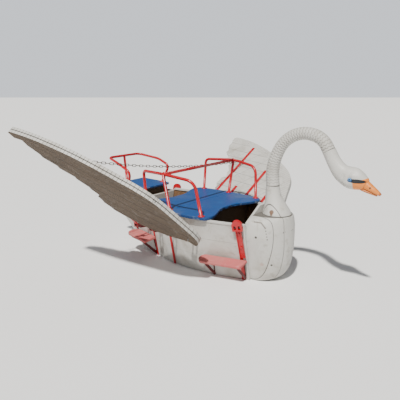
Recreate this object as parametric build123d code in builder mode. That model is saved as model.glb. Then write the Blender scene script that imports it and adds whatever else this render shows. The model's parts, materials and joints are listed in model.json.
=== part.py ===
"""Swan gondola from a fairground ride, as an assembly of separate pieces.

Frame: millimetres, +X forward to the swan's head, +Y to the swan's left, +Z up.
X = 0 is the common backrest bar, Y = 0 the middle plane, Z = 0 the flat underside.
"""
import os
from math import atan2, cos, degrees, radians, sin, sqrt, tan

from build123d import *

os.makedirs("parts", exist_ok=True)

# ---- driving dimensions -------------------------------------------------------
FIT = 0.3                  # gap between pieces that only sit against each other

# hull
HULL_FRONT = 625.0         # X of the front end of the sides
HULL_STERN = -1000.0       # X of the stern end of the sides
RAMP_START = -200.0        # behind this the bottom rises to the stern
RAMP_RISE = 455.0
RAMP_POWER = 2.2
GUNWALE_Z = 466.0          # top edge of the side panels
CAP_T = 18.0               # capping strip on the side panels
CAP_LIP = 5.6              # how far the strip stands out; the hangers clear it
HALF_MID = 410.0           # outer half width at the gunwale, amidships
HALF_FRONT = 285.0         # the same at HULL_FRONT
HALF_STERN = 200.0         # the same at HULL_STERN
FLARE = 0.206              # sideways slope of the sides per mm of height
SIDE_T = 16.0
BOTTOM_T = 20.0
STATION_STEP = 100.0
BULKHEAD_T = 20.0

# bench and stern seat
BENCH_TOP = 510.0
BENCH_T = 26.0
BENCH_HALF_L = 375.0
BENCH_HALF_MID = 434.0
BENCH_HALF_END = 400.0
BENCH_NOTCH = 85.0         # depth of the leg cut-out in each long edge
SEAT_TOP = 545.0
SEAT_T = 22.0
SEAT_X0 = -1040.0
SEAT_X1 = -640.0
SEAT_HALF = 258.0

# rails
TUBE_D = 25.0
RAIL_TOP = 818.0
RAIL_HALF = 475.0
FLANGE_D = 54.0
FLANGE_T = 4.0

# iron bands and hangers
BAND_T = 6.0
BAND_W = 26.0
BAND_FRONT_X = 604.0
BAND_MID_X = -40.0
BAND_AFT_X = -285.0
BAND_REAR_X = -585.0
HANGER_BORE_D = 16.0
FRONT_TILT = 8.0           # degrees the front hangers lean back

# wings
HINGE_Y = 440.0
HINGE_Z = 310.0
RIGHT_RAISE = 46.4         # degrees above level, as stored
LEFT_RAISE = 28.4
EDGE_W = 78.0              # leading-edge band across the wing
LAM_T = 24.0               # each of the two leading-edge laminations
LAM_GAP = 0.3
BOARD_T = 30.0
PIN_D = 10.0
PIN_RUN = 0.08             # radial running clearance of a strap eye on its pin
PIN_FIT = 0.02             # radial clearance of a pin in its bracket
STRAP_T = 6.0
STRAP_W = 30.0
STRAPS = ((-350.0, 1050.0), (-165.0, 370.0), (20.0, 680.0), (232.0, 310.0))
WING_EDGE = ((372, 62), (430, 110), (455, 190), (440, 290), (405, 420), (380, 520),
             (330, 640), (250, 735), (155, 815), (0, 935), (-150, 1035), (-300, 1110),
             (-450, 1172), (-580, 1210), (-700, 1235))
WING_TAIL = ((-735, 1222), (-728, 1170), (-705, 1110), (-712, 1060), (-660, 960),
             (-668, 925), (-575, 840), (-582, 808), (-475, 720), (-482, 690), (-415, 600),
             (-420, 572), (-385, 500), (-432, 470), (-425, 420), (-436, 380), (-400, 320),
             (-395, 285), (-320, 222), (-215, 150), (-205, 132), (-90, 84), (90, 56))

# chain
LINK_PITCH = 38.0
LINK_WIRE = 5.0
LINK_W = 21.0
LINK_PLAY = 0.5
CHAIN_SAG = 60.0
CHAIN_EYES = {"right": (-400.0, 850.0), "left": (-310.0, 750.0)}    # X, and distance out from the hinge
CHAIN_UP = 30.0
CHAIN_HOOK = {"right": 18.0, "left": 17.0}      # first link's middle above the eye's ring


# ---- shared helpers --------------------------------------------------------------
def half_gunwale(x):
    """Outer half width of the hull at the gunwale."""
    if x >= 0:
        return HALF_MID - (HALF_MID - HALF_FRONT) * (x / HULL_FRONT) ** 2
    return HALF_MID - (HALF_MID - HALF_STERN) * (x / HULL_STERN) ** 1.3


def half_at(x, z):
    """Outer half width of the hull at height z."""
    return half_gunwale(x) - FLARE * (GUNWALE_Z + CAP_T - z)


def bottom_z(x):
    """Height of the underside at x."""
    if x >= RAMP_START:
        return 0.0
    share = (RAMP_START - x) / (RAMP_START - HULL_STERN)
    return RAMP_RISE * share ** RAMP_POWER


def stations(x0, x1):
    """Evenly spaced X values from x0 to x1, both included."""
    n = max(1, round(abs(x1 - x0) / STATION_STEP))
    return [x0 + (x1 - x0) * i / n for i in range(n + 1)]


def section_loft(xs, outline):
    """Ruled loft through YZ outlines; outline(x) lists (y, z) corners."""
    with BuildPart() as body:
        for x in xs:
            with BuildSketch(Plane(origin=(x, 0, 0), x_dir=(0, 1, 0), z_dir=(1, 0, 0))):
                with BuildLine():
                    Polyline(*outline(x), close=True)
                make_face()
        loft(ruled=True)
    return body.part


def mirrored(shape):
    """The same piece on the other side of the middle plane."""
    return shape.mirror(Plane.XZ)


def save(shape, name):
    """Label a piece and write its STEP file."""
    shape.label = name
    export_step(shape, f"parts/{name}.step")


def rounded_wire(points, radii):
    """A path of straight lines joined by arcs; radii are for the inner corners."""
    pts = [Vector(*p) for p in points]
    start = pts[0]
    edges = []
    for corner, nxt, r in zip(pts[1:-1], pts[2:], radii):
        a = (start - corner).normalized()
        b = (nxt - corner).normalized()
        half = radians(a.get_angle(b)) / 2
        reach = r / tan(half)
        t0 = corner + a * reach
        t1 = corner + b * reach
        middle = corner + (a + b).normalized() * (r / sin(half) - r)
        edges.append(Edge.make_line(start, t0))
        edges.append(Edge.make_three_point_arc(t0, middle, t1))
        start = t1
    edges.append(Edge.make_line(start, pts[-1]))
    return Wire(edges)


def tube(points, radii, diameter):
    """A round bar bent along a rounded path."""
    path = rounded_wire(points, radii)
    with BuildPart() as bar:
        with BuildSketch(Plane(origin=path @ 0, z_dir=path % 0)):
            Circle(diameter / 2)
        sweep(path=path)
    return bar.part


def disc(centre, diameter, thick, axis=(0, 0, 1)):
    """A round plate whose base centre is given."""
    with BuildPart() as plate:
        with BuildSketch(Plane(origin=centre, z_dir=axis)):
            Circle(diameter / 2)
        extrude(amount=thick)
    return plate.part


def block(x0, x1, y0, y1, z0, z1):
    """A plain box between two corners."""
    with BuildPart() as body:
        with Locations(((x0 + x1) / 2, (y0 + y1) / 2, (z0 + z1) / 2)):
            Box(x1 - x0, y1 - y0, z1 - z0)
    return body.part


def plate_yz(x0, x1, corners):
    """A flat plate standing across the hull, from x0 to x1."""
    with BuildPart() as body:
        with BuildSketch(Plane(origin=(x0, 0, 0), x_dir=(0, 1, 0), z_dir=(1, 0, 0))):
            with BuildLine():
                Polyline(*corners, close=True)
            make_face()
        extrude(amount=x1 - x0)
    return body.part


# ---- hull -----------------------------------------------------------------------
def hull_side_outline(x):
    zb = bottom_z(x)
    top = half_at(x, GUNWALE_Z)
    low = half_at(x, zb)
    return [(top, GUNWALE_Z), (low, zb), (low - SIDE_T, zb), (top - SIDE_T, GUNWALE_Z)]


hull_side_left = section_loft(stations(HULL_STERN, HULL_FRONT), hull_side_outline)
save(hull_side_left, "hull_side_left")
save(mirrored(hull_side_left), "hull_side_right")


def bottom_outline(x):
    zb = bottom_z(x)
    low = half_at(x, zb) - SIDE_T - FIT
    high = half_at(x, zb + BOTTOM_T) - SIDE_T - FIT
    return [(-low, zb), (low, zb), (high, zb + BOTTOM_T), (-high, zb + BOTTOM_T)]


bottom_board = section_loft(stations(RAMP_START, HULL_FRONT), bottom_outline)
save(bottom_board - hull_side_left - mirrored(hull_side_left), "bottom_board")
bottom_ramp = section_loft(stations(-990, RAMP_START - FIT), bottom_outline)
save(bottom_ramp - hull_side_left - mirrored(hull_side_left), "bottom_ramp")

bulk_top = half_at(HULL_FRONT, GUNWALE_Z)
bulk_low = half_at(HULL_FRONT, 0)
front_bulkhead = plate_yz(
    HULL_FRONT + FIT, HULL_FRONT + BULKHEAD_T,
    [(-bulk_low, 0), (bulk_low, 0), (bulk_top, GUNWALE_Z), (238, GUNWALE_Z), (232, 486), (62, 592),
     (-62, 592), (-232, 486), (-238, GUNWALE_Z), (-bulk_top, GUNWALE_Z)])
save(front_bulkhead, "front_bulkhead")


def cap_outline(x):
    g = half_gunwale(x)
    return [(g + CAP_LIP - FLARE * CAP_T, GUNWALE_Z + FIT), (g + CAP_LIP, GUNWALE_Z + CAP_T),
            (g - 28, GUNWALE_Z + CAP_T), (g - 28, GUNWALE_Z + FIT)]


gunwale_cap = section_loft(stations(-600, HULL_FRONT + BULKHEAD_T), cap_outline)
save(gunwale_cap, "gunwale_cap_left")
save(mirrored(gunwale_cap), "gunwale_cap_right")


def cross_panel(x0, x1, z0, z1):
    """A board across the inside of the hull, fitted to its narrower face."""
    def inner(z):
        return min(half_at(x0, z), half_at(x1, z)) - SIDE_T - 3 * FIT
    return plate_yz(x0, x1, [(-inner(z0), z0), (inner(z0), z0), (inner(z1), z1), (-inner(z1), z1)])


floor_z = BOTTOM_T + FIT
under_bench = BENCH_TOP - BENCH_T - FIT
cap_clear = GUNWALE_Z - 1
riser_front = cross_panel(236, 252, floor_z, cap_clear) + block(236, 252, -330, 330, 400, under_bench)
save(riser_front, "bench_riser_front")
riser_rear = cross_panel(-222, -206, floor_z + 2, cap_clear)
riser_rear += block(-222, -206, -340, 340, 400, under_bench)
save(riser_rear, "bench_riser_rear")

floor_aft = bottom_z(-600) + BOTTOM_T + 6
stern_bulkhead = cross_panel(-618, -600, floor_aft, GUNWALE_Z - 1) - bottom_ramp
save(stern_bulkhead, "stern_bulkhead")


def deck_outline(x):
    low = half_at(x, 440) - SIDE_T - FIT
    high = half_at(x, 456) - SIDE_T - FIT
    return [(-low, 440), (low, 440), (high, 456), (-high, 456)]


save(section_loft(stations(-930, -618 - FIT), deck_outline), "stern_deck")


def stern_seat_frame():
    """Box of boards that carries the stern seat on the deck."""
    z0 = 456 + FIT
    z1 = SEAT_TOP - SEAT_T - FIT
    frame = block(-670, -655, -215, 215, z0, z1)
    for y in (-168, 153):
        frame += block(-925, -670, y, y + 15, z0, z1)
    return frame


save(stern_seat_frame(), "stern_seat_frame")


# ---- seats ----------------------------------------------------------------------
def bench_board(sign):
    """One half of the bench; sign is +1 for the front half, -1 for the rear."""
    end = BENCH_HALF_L
    notch = end - BENCH_NOTCH
    seam = 1.0
    with BuildPart() as board:
        with BuildSketch(Plane.XY.offset(BENCH_TOP - BENCH_T)):
            with BuildLine():
                a = Spline((sign * seam, BENCH_HALF_MID), (sign * end * 0.6, BENCH_HALF_MID - 8),
                           (sign * (end - 22), BENCH_HALF_END))
                b = Spline(a @ 1, (sign * end, BENCH_HALF_END - 48), (sign * (end - 16), 250),
                           (sign * (notch + 10), 120), (sign * notch, 0))
                mirror(a, about=Plane.XZ)
                mirror(b, about=Plane.XZ)
                Line((sign * seam, BENCH_HALF_MID), (sign * seam, -BENCH_HALF_MID))
            make_face()
        extrude(amount=BENCH_T)
    return board.part


save(bench_board(1), "bench_board_front")
save(bench_board(-1), "bench_board_rear")


def stern_seat():
    with BuildPart() as seat:
        with BuildSketch(Plane.XY.offset(SEAT_TOP - SEAT_T)):
            with Locations(((SEAT_X0 + SEAT_X1) / 2, 0)):
                RectangleRounded(SEAT_X1 - SEAT_X0, 2 * SEAT_HALF, 26)
        extrude(amount=SEAT_T)
        fillet(seat.faces().sort_by(Axis.Z)[-1].edges(), 5)
    return seat.part


save(stern_seat(), "stern_seat")


# ---- rails ----------------------------------------------------------------------
def foot(x, y, z):
    """Round base flange with a raised collar, under the end of a rail leg."""
    return disc((x, y, z), FLANGE_D, FLANGE_T)


def arm_rail():
    """Left-hand arch: rear leg, bowed top, front leg and the welded middle post."""
    base = BENCH_TOP + FIT
    rail = tube(
        [(-292, 388, base), (-292, 414, 802), (0, RAIL_HALF, RAIL_TOP), (282, 424, 786), (318, 384, base)],
        [38, 420, 92], TUBE_D)
    post = tube([(0, 405, base), (0, RAIL_HALF - 2, RAIL_TOP - 4)], [], TUBE_D)
    rail = rail + post
    for x, y in ((-292, 388), (318, 384), (0, 405)):
        rail += foot(x, y, base)
    keep = block(-600, 600, 0, 600, base, 1200)
    return rail & keep


arm_left = arm_rail()
save(arm_left, "arm_rail_left")
save(mirrored(arm_left), "arm_rail_right")

bar_end = RAIL_HALF - TUBE_D / 2 - 1.2
crossbar = tube([(0, -bar_end, RAIL_TOP - 2), (0, bar_end, RAIL_TOP - 2)], [], TUBE_D)
save(crossbar - arm_left - mirrored(arm_left), "backrest_bar")


def stern_rail():
    """Hoop around the stern seat with two legs and a middle post behind."""
    base = SEAT_TOP + FIT
    hoop = tube(
        [(-722, 228, base), (-652, 258, 718), (-800, 254, 776), (-1036, 192, 812),
         (-1036, -192, 812), (-800, -254, 776), (-652, -258, 718), (-722, -228, base)],
        [48, 260, 62, 62, 260, 48], TUBE_D)
    post = tube([(-1008, 0, base), (-1036, 0, 818)], [], TUBE_D)
    rail = hoop + post
    for x, y in ((-722, 228), (-722, -228), (-1008, 0)):
        rail += foot(x, y, base)
    keep = block(-1200, -500, -400, 400, base, 1000)
    return rail & keep


save(stern_rail(), "stern_rail")


# ---- iron bands and hangers ---------------------------------------------------------
def band(x, width, top):
    """A flat bar bent round the hull where the underside is raised, or one bar on each side elsewhere."""
    def outline(xs):
        zb = bottom_z(xs)
        inner = FIT
        outer = FIT + BAND_T
        up = half_at(xs, top)
        low = half_at(xs, zb)
        return [(up + inner, top), (up + outer, top), (low + outer, zb - outer),
                (-low - outer, zb - outer), (-up - outer, top), (-up - inner, top),
                (-low - inner, zb - inner), (low + inner, zb - inner)]

    def side_outline(xs):
        foot_z = max(bottom_z(xs), 0.0)
        up = half_at(xs, top)
        low = half_at(xs, foot_z)
        return [(up + FIT, top), (up + FIT + BAND_T, top), (low + FIT + BAND_T, foot_z), (low + FIT, foot_z)]

    ends = [x - width / 2, x + width / 2]
    if bottom_z(x) > 2 * BAND_T:
        return section_loft(ends, outline)
    bar = section_loft(ends, side_outline)
    return Compound(children=[bar, mirrored(bar)])


save(band(BAND_FRONT_X, BAND_W, 250), "band_front")
save(band(BAND_MID_X, BAND_W, 455), "band_mid")
save(band(BAND_AFT_X, 20, 455), "band_aft")
save(band(BAND_REAR_X, BAND_W, 250), "band_rear")


def hanger(x, tilt):
    """Channel iron on the hull side with its slotted, bored lifting head."""
    z0, z1 = 205.0, 446.0
    y0 = half_at(x, z0)
    y1 = half_at(x, z1)
    run = sqrt((y1 - y0) ** 2 + (z1 - z0) ** 2)
    lean = Vector(0, (y1 - y0) / run, (z1 - z0) / run)
    steer = (half_at(x + 1, z0) - half_at(x - 1, z0)) / 2
    along = Vector(1, steer, 0).normalized()
    out = lean.cross(along).normalized()
    if out.Y < 0:
        out = out * -1
    plane = Plane(origin=Vector(x, y0, z0) + out * (FIT * 2 + BAND_T), x_dir=along, z_dir=out)
    up = 1 if plane.y_dir.Z > 0 else -1
    along = along * cos(radians(tilt)) + plane.y_dir * (up * sin(radians(tilt)))
    plane = Plane(origin=plane.origin, x_dir=along, z_dir=out)
    with BuildPart() as iron:
        with BuildSketch(plane):
            with Locations((0, up * run / 2)):
                Rectangle(44, run)
        extrude(amount=7)
        with BuildSketch(plane.offset(7)):
            with Locations((-18.5, up * run / 2), (18.5, up * run / 2)):
                Rectangle(7, run)
        extrude(amount=9)
        with BuildSketch(plane):
            with BuildLine():
                Polyline((-40, up * (run - 4)), (40, up * (run - 4)), (40, up * (run + 42)))
                ThreePointArc((40, up * (run + 42)), (0, up * (run + 82)), (-40, up * (run + 42)))
                Line((-40, up * (run + 42)), (-40, up * (run - 4)))
            make_face()
            with Locations((-17, up * (run + 24)), (17, up * (run + 24))):
                RectangleRounded(18, 34, 4, mode=Mode.SUBTRACT)
        extrude(amount=28)
        with BuildSketch(Plane(origin=plane.from_local_coords((-60, up * (run + 24), 14)), z_dir=along)):
            Circle(HANGER_BORE_D / 2)
        extrude(amount=120, mode=Mode.SUBTRACT)
        with BuildSketch(plane):
            with Locations((0, up * (run - 34)), (0, up * (run - 150))):
                Circle(6)
        extrude(amount=30, mode=Mode.SUBTRACT)
    return iron.part, plane, up, run


hanger_front, hanger_plane, hanger_up, hanger_run = hanger(BAND_FRONT_X + 12, FRONT_TILT)
hanger_rear, rear_plane, rear_up, rear_run = hanger(BAND_REAR_X, 0)
save(hanger_front, "hanger_front_left")
save(mirrored(hanger_front), "hanger_front_right")
save(hanger_rear, "hanger_rear_left")
save(mirrored(hanger_rear), "hanger_rear_right")


hanger_eye = hanger_plane.from_local_coords((0, hanger_up * (hanger_run + 24), 14))
rear_eye = rear_plane.from_local_coords((0, rear_up * (rear_run + 24), 14))


def hanger_bolts():
    """Bolts through the two holes of each hanger, heads outside, seen from the left."""
    pieces = []
    for plane, up, run in ((hanger_plane, hanger_up, hanger_run), (rear_plane, rear_up, rear_run)):
        for back in (34, 150):
            spot = plane.from_local_coords((0, up * (run - back), FIT))
            shank = disc(spot, 11.6, 9, plane.z_dir)
            head_at = plane.from_local_coords((0, up * (run - back), 7 + FIT))
            with BuildPart() as head:
                with BuildSketch(Plane(origin=head_at, x_dir=plane.x_dir, z_dir=plane.z_dir)):
                    RegularPolygon(10, 6)
                extrude(amount=7)
            pieces.append(shank + head.part)
    return pieces


bolts = hanger_bolts()
save(Compound(children=bolts + [mirrored(b) for b in bolts]), "hanger_bolts")


# ---- footsteps --------------------------------------------------------------------
def step_corners(x0, x1, z, gap, reach):
    """Inner and outer corners of a plank lying along the hull side."""
    y0 = half_at(x0, z) + gap
    y1 = half_at(x1, z) + gap
    return (x0, y0), (x1, y1), (x1, y1 + reach), (x0, y0 + reach)


def step_plank(x0, x1, z, gap, reach, droop):
    """Footstep board with its rear end rounded; droop tips the outer edge down."""
    a, b, c, d = step_corners(x0, x1, z, gap, reach)
    with BuildPart() as plank:
        with BuildSketch(Plane.XY):
            with BuildLine():
                Polyline(a, b, c, d)
                mid = ((a[0] + d[0]) / 2 - 0.46 * reach, (a[1] + d[1]) / 2)
                ThreePointArc(d, mid, a)
            make_face()
        extrude(amount=22)
    turn = degrees(atan2(b[1] - a[1], b[0] - a[0]))
    hinge = Axis((b[0], b[1], 0), (cos(radians(turn)), sin(radians(turn)), 0))
    return plank.part.rotate(hinge, -droop).moved(Location((0, 0, z)))


FRONT_STEP = (345, 650, 164, 16, 104, 14)
REAR_STEP = (-520, -262, 178, 14, 132, 4)
step_front = step_plank(*FRONT_STEP)
step_rear = step_plank(*REAR_STEP)
save(step_front, "step_front_left")
save(mirrored(step_front), "step_front_right")
save(step_rear, "step_rear_left")
save(mirrored(step_rear), "step_rear_right")


def step_bracket(x, step, low, seat):
    """Triangular iron bracket under a plank, down to the hull's lower edge."""
    x0, x1, z, gap, reach, droop = step
    w = 7.0
    a, b, _, _ = step_corners(x0, x1, z, gap, reach)
    edge = a[1] + (b[1] - a[1]) * (x - x0) / (x1 - x0)
    turn = atan2(b[1] - a[1], b[0] - a[0])
    slope = cos(turn) * tan(radians(droop))
    side = max(half_at(x - w / 2, z), half_at(x + w / 2, z)) + seat
    foot_y = max(half_at(x - w / 2, low), half_at(x + w / 2, low)) + seat
    tip = edge + (reach - 12) * cos(radians(droop))
    top = z - FIT - 0.4
    arm = 12.0

    def under(y):
        return top - (y - edge) * slope

    outer = [(side, under(side)), (tip, under(tip)), (tip, under(tip) - arm), (foot_y + 14, low), (foot_y, low)]
    body = plate_yz(x - w / 2, x + w / 2, outer)
    hole = [(side + 12, under(side + 12) - arm), (tip - 26, under(tip - 26) - arm),
            (foot_y + 20, low + 34), (foot_y + 11, low + 40)]
    return body - plate_yz(x - w, x + w, hole)


brackets = []
for bx, step, low, seat in ((372, FRONT_STEP, 4, -0.2), (621.6, FRONT_STEP, 4, FIT),
                            (-301, REAR_STEP, 14, FIT), (-500, REAR_STEP, 62, FIT)):
    brackets.append(step_bracket(bx, step, low, seat))
save(Compound(children=brackets + [mirrored(b) for b in brackets]), "step_brackets")


# ---- swan's breast, neck and head ----------------------------------------------------
BREAST_X = HULL_FRONT + BULKHEAD_T + FIT
BREAST_SECTIONS = ((0, 150, 120), (36, 175, 185), (120, 195, 232), (240, 216, 250), (350, 240, 248),
                   (430, 246, 242), (500, 222, 238), (535, 160, 232))


def breast_body():
    """Rounded front of the hull: half-ellipse sections stacked upward."""
    with BuildPart() as body:
        for z, half, deep in BREAST_SECTIONS:
            with BuildSketch(Plane.XY.offset(z)):
                with BuildLine():
                    arc = EllipticalCenterArc((BREAST_X, 0), deep, half, start_angle=-90, arc_size=180)
                    Line(arc @ 1, arc @ 0)
                make_face()
        loft()
    return body.part


breast = breast_body()
CORE_HALF = 80.0
CHEEK_HALF = 160.0


def slab(y0, y1):
    return block(BREAST_X - 5, BREAST_X + 400, y0, y1, -20, 560)


cheek = breast & slab(CORE_HALF + FIT / 2, CHEEK_HALF - FIT / 2)
flank = breast & slab(CHEEK_HALF + FIT / 2, 300)
save(breast & slab(-CORE_HALF + FIT / 2, CORE_HALF - FIT / 2), "breast_core")
save(cheek, "breast_cheek_left")
save(mirrored(cheek), "breast_cheek_right")
save(flank, "breast_flank_left")
save(mirrored(flank), "breast_flank_right")

NECK_BASE_Z = 535.0 + FIT
NECK_JOINT_Z = 750.0


NECK_BASE_SECTIONS = ((NECK_BASE_Z, 760, 112), (575, 753, 98), (620, 740, 79), (675, 724, 62),
                      (NECK_JOINT_Z, 714, 51))


def neck_base():
    with BuildPart() as cone:
        for z, x, r in NECK_BASE_SECTIONS:
            with BuildSketch(Plane.XY.offset(z)):
                with Locations((x, 0)):
                    Circle(r)
        loft()
    return cone.part


save(neck_base(), "neck_base")


def stack(points, first, last):
    """Loft of ellipses across a spline through points of (x, z, half height, half width)."""
    with BuildLine():
        path = Spline(*[(p[0], 0, p[1]) for p in points], tangents=(first, last))
    lengths = [0.0]
    for p, q in zip(points[:-1], points[1:]):
        lengths.append(path.param_at_point(Vector(q[0], 0, q[1])))
    with BuildPart() as body:
        for t, p in zip(lengths, points):
            with BuildSketch(Plane(origin=(p[0], 0, p[1]), x_dir=(0, 1, 0), z_dir=path.tangent_at(t))):
                Ellipse(p[3], p[2])
        loft()
    return body.part


NECK = ((714, NECK_JOINT_Z + FIT, 51, 51), (706, 850, 50, 50), (722, 950, 48, 48), (775, 1062, 46, 46),
        (852, 1130, 46, 46), (944, 1160, 46, 46), (1036, 1150, 46, 45), (1100, 1112, 45, 45),
        (1142, 1052, 46, 45))
save(stack(NECK, (0, 0, 1), (0.5, 0, -0.87)), "neck")

HEAD = ((1142.2, 1051.6, 46, 45), (1186, 978, 49, 46), (1238, 918, 60, 50), (1300, 888, 73, 58),
        (1350, 876, 70, 57), (1392, 860, 52, 44), (1412, 850, 38, 33))
save(stack(HEAD, (0.5, 0, -0.87), (0.93, 0, -0.36)), "head")

BEAK_TOP = ((1412.4, 849.8, 34, 31), (1440, 837, 25, 28), (1480, 815, 17, 22), (1512, 797, 8, 12))
BEAK_LOW = ((1386, 822, 12, 24), (1420, 811, 11, 22), (1462, 799, 9, 15), (1490, 790, 6, 9))

upper_beak = stack(BEAK_TOP, (0.93, 0, -0.36), (0.86, 0, -0.5))
lower_beak = stack(BEAK_LOW, (0.96, 0, -0.28), (0.93, 0, -0.36))
head_part = stack(HEAD, (0.5, 0, -0.87), (0.93, 0, -0.36))
lower_beak = lower_beak - upper_beak - head_part
save(upper_beak, "beak_upper")
save(lower_beak, "beak_lower")


def eyes():
    pair = []
    for side in (1, -1):
        with BuildPart() as eye:
            with Locations((1318, side * 53, 884)):
                Sphere(11)
        pair.append(eye.part - head_part)
    return pair


save(Compound(children=eyes()), "eyes")


# ---- wings ------------------------------------------------------------------------
# A wing is drawn flat, X along the hull and Y outward from the hinge line, with its top
# face at Z = 0, then turned up about the hinge and moved to the hull.
STRAP_MID = STRAP_T / 2 + FIT


def inset(points, depth):
    """Points moved inward from the leading edge by depth."""
    out = []
    for i, p in enumerate(points):
        a = points[max(i - 1, 0)]
        b = points[min(i + 1, len(points) - 1)]
        dx, dy = b[0] - a[0], b[1] - a[1]
        size = sqrt(dx * dx + dy * dy)
        out.append((p[0] - dy / size * depth, p[1] + dx / size * depth))
    return out


def flat_face(lines):
    with BuildSketch() as face:
        with BuildLine():
            for kind, pts in lines:
                if kind == "spline":
                    Spline(*pts)
                else:
                    Polyline(*pts)
        make_face()
    return face.sketch


def wing_outline():
    """Whole plan of a wing."""
    return flat_face((("spline", WING_EDGE), ("poly", (WING_EDGE[-1],) + WING_TAIL + (WING_EDGE[0],))))


def edge_band():
    """Plan of the leading-edge band."""
    inner = inset(WING_EDGE, EDGE_W)
    inner[-1] = (WING_EDGE[-1][0] - 34, WING_EDGE[-1][1] - 70)
    face = flat_face((("spline", WING_EDGE), ("poly", (WING_EDGE[-1], (-735, 1222), (-728, 1170), inner[-1])),
                      ("spline", inner), ("poly", (inner[0], WING_EDGE[0]))))
    return face


def prism(face, z0, z1):
    """A plan face made solid between two heights."""
    return extrude(face.moved(Location((0, 0, z0))), amount=z1 - z0)


def board_strip(near, far):
    """Plan strip between two lines that run along the sweep of the wing."""
    run = Vector(-1080, 715).normalized()
    side = Vector(-run.Y, run.X) * 1.0
    origin = Vector(380, 520)
    a = origin + side * near
    b = origin + side * far
    ends = [a - run * 900, a + run * 2200, b + run * 2200, b - run * 900]
    return flat_face((("poly", [(v.X, v.Y) for v in ends + ends[:1]]),))


def wing_pieces():
    """Flat pieces of one wing, by name."""
    plan = wing_outline()
    band_plan = edge_band()
    upper = prism(band_plan, -LAM_T, 0)
    lower = prism(band_plan, -2 * LAM_T - LAM_GAP, -LAM_T - LAM_GAP)
    bulk = prism(plan, -BOARD_T, 0) - prism(band_plan, -60, 10)
    limits = (-400, 205, 330, 460, 800)
    boards = []
    for i in range(4):
        strip = prism(board_strip(limits[i] + FIT / 2, limits[i + 1] - FIT / 2), -80, 20)
        boards += (bulk & strip).solids()
    return {"leading_edge_upper": [upper], "leading_edge_lower": [lower], "boards": boards}


def strap(x, reach):
    """Strap hinge on top of the wing, with its rolled eye round the pin."""
    low = FIT
    with BuildPart() as iron:
        with Locations((x, (reach + 16) / 2, low + STRAP_T / 2)):
            Box(STRAP_W, reach - 16, STRAP_T)
        with BuildSketch(Plane(origin=(x - STRAP_W / 2, 0, STRAP_MID), z_dir=(1, 0, 0))):
            Circle(PIN_D / 2 + PIN_RUN + 5)
        extrude(amount=STRAP_W)
        with Locations((x, 12, low + STRAP_T / 2)):
            Box(STRAP_W, 24, STRAP_T)
        with BuildSketch(Plane(origin=(x - STRAP_W, 0, STRAP_MID), z_dir=(1, 0, 0))):
            Circle(PIN_D / 2 + PIN_RUN)
        extrude(amount=2 * STRAP_W, mode=Mode.SUBTRACT)
    return iron.part


def chain_eye(x, out):
    """Ring bolt standing on a wing's top face, where the chain is hooked on."""
    stem = disc((x, out, FIT), 8, CHAIN_UP - 6) + disc((x, out, FIT), 34, 4)
    with BuildPart() as ring:
        with Locations(Location((x, out, CHAIN_UP), (90, 0, 0))):
            Torus(10, 3)
    return stem + ring.part


def set_wing(shape, raise_deg):
    """Turn a flat left-hand piece up about the hinge and move it to the hull."""
    down = Location((0, 0, -STRAP_MID))
    turn = Location((0, HINGE_Y, HINGE_Z), (1, 0, 0), raise_deg)
    return shape.moved(down).moved(turn)


def wing_bracket(x):
    """Two-eared bracket on the hull side that carries one strap's pin, left-hand side."""
    ear = 7.0
    gap = STRAP_W / 2 + 1.0
    pieces = None
    for x0 in (x - gap - ear, x + gap):
        side = max(half_at(x0, HINGE_Z), half_at(x0 + ear, HINGE_Z)) + FIT
        lean = FLARE * 34
        corners = [(side - lean, HINGE_Z - 34), (side + lean, HINGE_Z + 34), (HINGE_Y + 4, HINGE_Z + 13),
                   (HINGE_Y + 13, HINGE_Z + 4), (HINGE_Y + 13, HINGE_Z - 6), (HINGE_Y + 4, HINGE_Z - 13)]
        plate = plate_yz(x0, x0 + ear, corners)
        pieces = plate if pieces is None else pieces + plate
    y0 = max(half_at(x - 30, HINGE_Z), half_at(x + 30, HINGE_Z)) + 10
    pieces += block(x - gap - 1, x + gap + 1, y0, y0 + 6, HINGE_Z - 22, HINGE_Z + 22)
    hole = disc((x - 60, HINGE_Y, HINGE_Z), PIN_D + 2 * PIN_FIT, 120, (1, 0, 0))
    return pieces - hole


def wing_stop(x, raise_deg):
    """Round bar through the bracket ears on which the strap rests."""
    lift = radians(raise_deg)
    out, down = 24.0, STRAP_T / 2 + 3.0 + 0.25
    y = HINGE_Y + out * cos(lift) + down * sin(lift)
    z = HINGE_Z + out * sin(lift) - down * cos(lift)
    return y, z


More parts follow.
